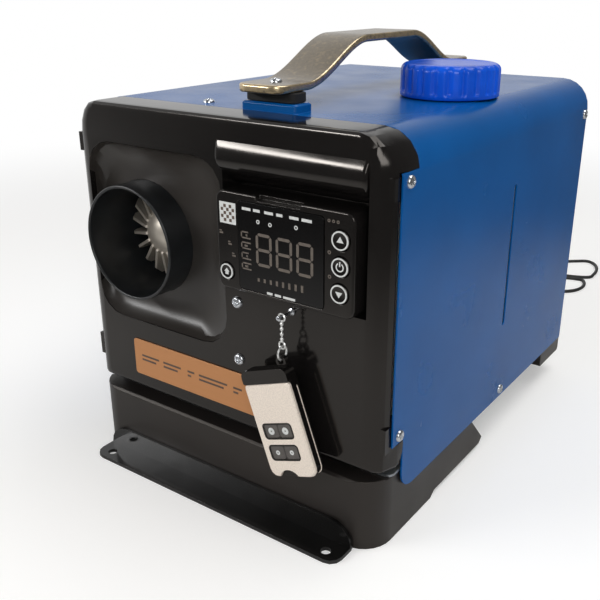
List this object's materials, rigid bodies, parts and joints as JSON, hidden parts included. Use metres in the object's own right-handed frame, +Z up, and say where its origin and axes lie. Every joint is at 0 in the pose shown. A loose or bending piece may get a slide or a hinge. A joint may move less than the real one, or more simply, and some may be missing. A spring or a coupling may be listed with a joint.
{
  "type": "diesel air heater",
  "caption": "Portable fuel-burning air heater in a handled steel case with an air outlet, a controller and a hanging key fob remote.",
  "frame": {"origin": "bottom centre of the heater without its lead, on the plane that it stands on", "axes": "+Z up, the front panel with the air outlet faces -Y, the right side as seen from the front is +X"},
  "size_m": [0.2428, 0.6241, 0.2842],
  "materials": {
    "gloss_black": "gloss",
    "satin_black": "satin",
    "dark_window": "gloss",
    "copper_film": "satin",
    "steel": "brushed",
    "blue_paint": "gloss",
    "black_paint": "satin",
    "bronze_paint": "satin",
    "rubber": "matte",
    "cast_aluminium": "matte",
    "board_green": "satin",
    "tank_white": "satin",
    "cap_blue": "satin",
    "silver": "satin",
    "key_grey": "satin"
  },
  "bodies": {
    "case": {"front_panel": "gloss_black", "controller_housing": "satin_black", "controller_window": "dark_window", "label_plate": "copper_film", "panel_screw_upper": "steel", "panel_screw_lower": "steel", "case_shell": "blue_paint", "rear_panel": "satin_black", "intake_guard": "steel", "bottom_plate": "steel", "base_housing": "satin_black", "mounting_bracket": "black_paint", "rear_foot": "satin_black", "carry_handle": "bronze_paint", "handle_pad_front": "rubber", "handle_pad_rear": "rubber", "outlet_duct": "satin_black", "casing_lower": "satin_black", "casing_upper": "satin_black", "heat_exchanger": "cast_aluminium", "blower_housing": "cast_aluminium", "blower_motor": "steel", "control_board": "board_green", "fuel_tank": "tank_white", "fuel_pump": "steel", "fuel_hose": "rubber", "exhaust_pipe": "steel", "chain_hook": "steel", "cable_gland": "satin_black", "power_cord": "rubber", "cord_coil": "rubber", "power_connector": "satin_black", "case_screw_right_front_upper": "steel", "case_screw_right_front_lower": "steel", "case_screw_right_rear_upper": "steel", "case_screw_right_lower_middle": "steel", "case_screw_left_front_upper": "steel", "case_screw_left_front_lower": "steel", "case_screw_left_rear_upper": "steel", "case_screw_left_lower_middle": "steel", "case_screw_top": "steel", "handle_screw_front": "steel", "handle_screw_rear": "steel"},
    "cap_lift": {"cap_gasket": "rubber"},
    "cap": {"fuel_cap": "cap_blue"},
    "remote": {"key_chain": "steel", "key_ring": "steel", "remote_body": "satin_black", "remote_face": "silver"},
    "rotor": {"rotor_shaft": "steel", "warm_air_fan": "satin_black", "combustion_impeller": "cast_aluminium"},
    "controller_button_home_key": {"controller_button_home": "key_grey"},
    "controller_button_up_key": {"controller_button_up": "key_grey"},
    "controller_button_power_key": {"controller_button_power": "key_grey"},
    "controller_button_down_key": {"controller_button_down": "key_grey"},
    "remote_button_upper_left_key": {"remote_button_upper_left": "silver"},
    "remote_button_upper_right_key": {"remote_button_upper_right": "silver"},
    "remote_button_lower_left_key": {"remote_button_lower_left": "silver"},
    "remote_button_lower_right_key": {"remote_button_lower_right": "silver"}
  },
  "joints": [
    {"name": "cap_lift_slide", "type": "slide", "parent": "case", "child": "cap_lift", "axis": [0, 0, 1], "range_m": [0, 0.0108]},
    {"name": "cap_turn", "type": "hinge", "parent": "cap_lift", "child": "cap", "pos_m": [0.073, 0.01045, 0.256], "axis": [0, 0, 1], "range_deg": [0, 540]},
    {"name": "remote_swing", "type": "hinge", "parent": "case", "child": "remote", "pos_m": [0.057, -0.14965, 0.141], "axis": [0, 1, 0], "range_deg": [-45, 45]},
    {"name": "rotor_spin", "type": "hinge", "parent": "case", "child": "rotor", "pos_m": [-0.0672, 0.07345, 0.1598], "axis": [0, 1, 0], "continuous": true},
    {"name": "controller_button_home_press", "type": "slide", "parent": "case", "child": "controller_button_home_key", "axis": [0, 1, 0], "range_m": [0, 0.0008], "stiffness_N_per_m": 600},
    {"name": "controller_button_up_press", "type": "slide", "parent": "case", "child": "controller_button_up_key", "axis": [0, 1, 0], "range_m": [0, 0.0008], "stiffness_N_per_m": 600},
    {"name": "controller_button_power_press", "type": "slide", "parent": "case", "child": "controller_button_power_key", "axis": [0, 1, 0], "range_m": [0, 0.0008], "stiffness_N_per_m": 600},
    {"name": "controller_button_down_press", "type": "slide", "parent": "case", "child": "controller_button_down_key", "axis": [0, 1, 0], "range_m": [0, 0.0008], "stiffness_N_per_m": 600},
    {"name": "remote_button_upper_left_press", "type": "slide", "parent": "remote", "child": "remote_button_upper_left_key", "axis": [0, 1, 0], "range_m": [0, 0.0004], "stiffness_N_per_m": 600},
    {"name": "remote_button_upper_right_press", "type": "slide", "parent": "remote", "child": "remote_button_upper_right_key", "axis": [0, 1, 0], "range_m": [0, 0.0004], "stiffness_N_per_m": 600},
    {"name": "remote_button_lower_left_press", "type": "slide", "parent": "remote", "child": "remote_button_lower_left_key", "axis": [0, 1, 0], "range_m": [0, 0.0004], "stiffness_N_per_m": 600},
    {"name": "remote_button_lower_right_press", "type": "slide", "parent": "remote", "child": "remote_button_lower_right_key", "axis": [0, 1, 0], "range_m": [0, 0.0004], "stiffness_N_per_m": 600}
  ],
  "couplings": [
    {"joint": "cap_lift_slide", "follows": "cap_turn", "m_per_rad": 0.0011459}
  ]
}
